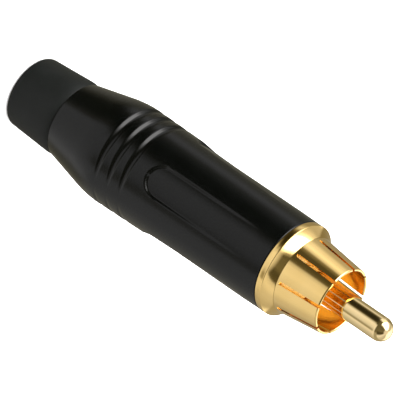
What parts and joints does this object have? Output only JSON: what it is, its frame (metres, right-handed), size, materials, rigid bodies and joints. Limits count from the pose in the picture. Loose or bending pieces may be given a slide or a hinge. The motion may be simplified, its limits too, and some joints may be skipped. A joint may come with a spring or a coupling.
{
  "type": "rca plug",
  "caption": "Phono plug with slotted gold ring and centre pin, black grooved shell that unscrews, chuck clamp and rubber boot.",
  "frame": {"origin": "centre of the boot's rear face, on the axis of the plug, where it stands", "axes": "+Z along the plug's axis from the boot to the tip of the centre pin; finger recesses of the shell face -Y, +X, +Y and -X"},
  "size_m": [0.0138, 0.0138, 0.0613],
  "materials": {
    "boot": "matte black rubber",
    "shell": "satin black coating on a die casting",
    "ring_gold": "bright gold plating",
    "pin_gold": "bright gold plating",
    "tag_gold": "thin gold plating on pressed sheet",
    "front_insulator": "black moulded plastic",
    "rear_insulator": "black moulded plastic",
    "sleeve": "grey plastic tube",
    "clamp": "off-white moulded plastic"
  },
  "bodies": {
    "housing": {"shell": "shell", "boot": "boot"},
    "clamp": {"cable_clamp": "clamp"},
    "insert": {"insulating_sleeve": "sleeve", "ground_contact": "ring_gold", "ground_tag": "tag_gold", "front_insulator": "front_insulator", "rear_insulator": "rear_insulator", "center_pin": "pin_gold"}
  },
  "joints": [
    {"name": "unscrew_turn", "type": "hinge", "parent": "housing", "child": "clamp", "pos_m": [0, 0, 0.0167], "axis": [0, 0, 1], "range_deg": [0, 2160]},
    {"name": "unscrew_rise", "type": "slide", "parent": "clamp", "child": "insert", "axis": [0, 0, 1], "range_m": [0, 0.006]}
  ],
  "couplings": [
    {"joint": "unscrew_turn", "follows": "unscrew_rise", "rad_per_m": 6283.2}
  ]
}
